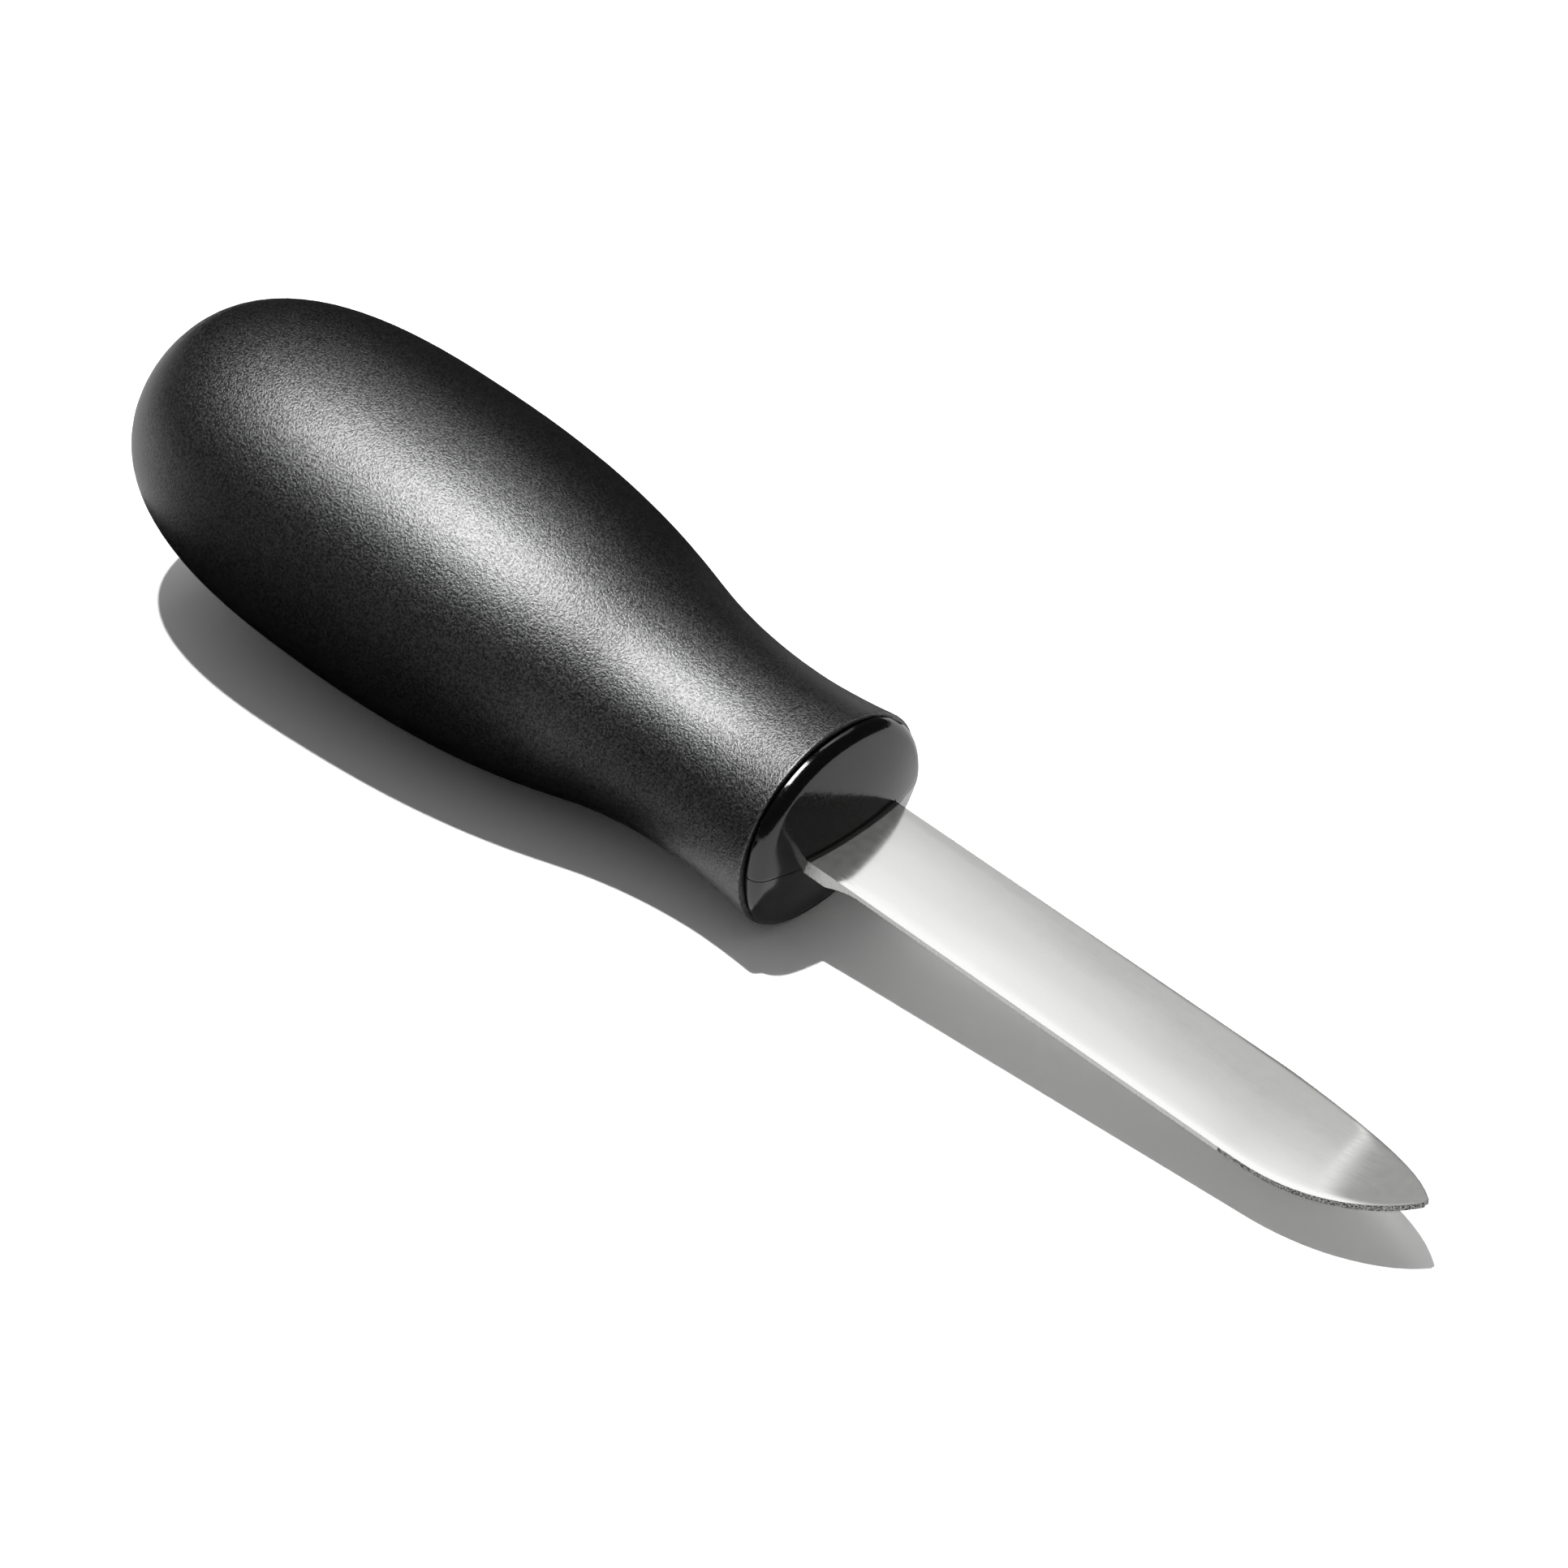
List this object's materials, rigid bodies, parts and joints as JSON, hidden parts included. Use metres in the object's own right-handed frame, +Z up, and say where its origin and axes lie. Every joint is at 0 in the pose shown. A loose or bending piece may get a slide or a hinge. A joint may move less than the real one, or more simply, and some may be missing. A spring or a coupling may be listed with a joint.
{
  "type": "oyster knife",
  "caption": "Oyster knife with a short stainless blade, an upturned point, a glossy front collar and a plump soft-grip handle.",
  "frame": {"origin": "under the middle of the knife, on the surface that it lies on", "axes": "+X from the butt to the point, +Z up as the knife lies on a table, +Y across the blade"},
  "size_m": [0.1706, 0.0364, 0.035],
  "materials": {
    "blade_steel": "fine satin, nearly a mirror",
    "core_plastic": "moulded gloss",
    "grip_rubber": "fine matte grain",
    "pin_steel": "drawn bar"
  },
  "bodies": {
    "root": {"blade": "blade_steel", "core_upper_half": "core_plastic", "core_lower_half": "core_plastic", "grip": "grip_rubber", "tang_pin_front": "pin_steel", "tang_pin_rear": "pin_steel"}
  },
  "joints": []
}
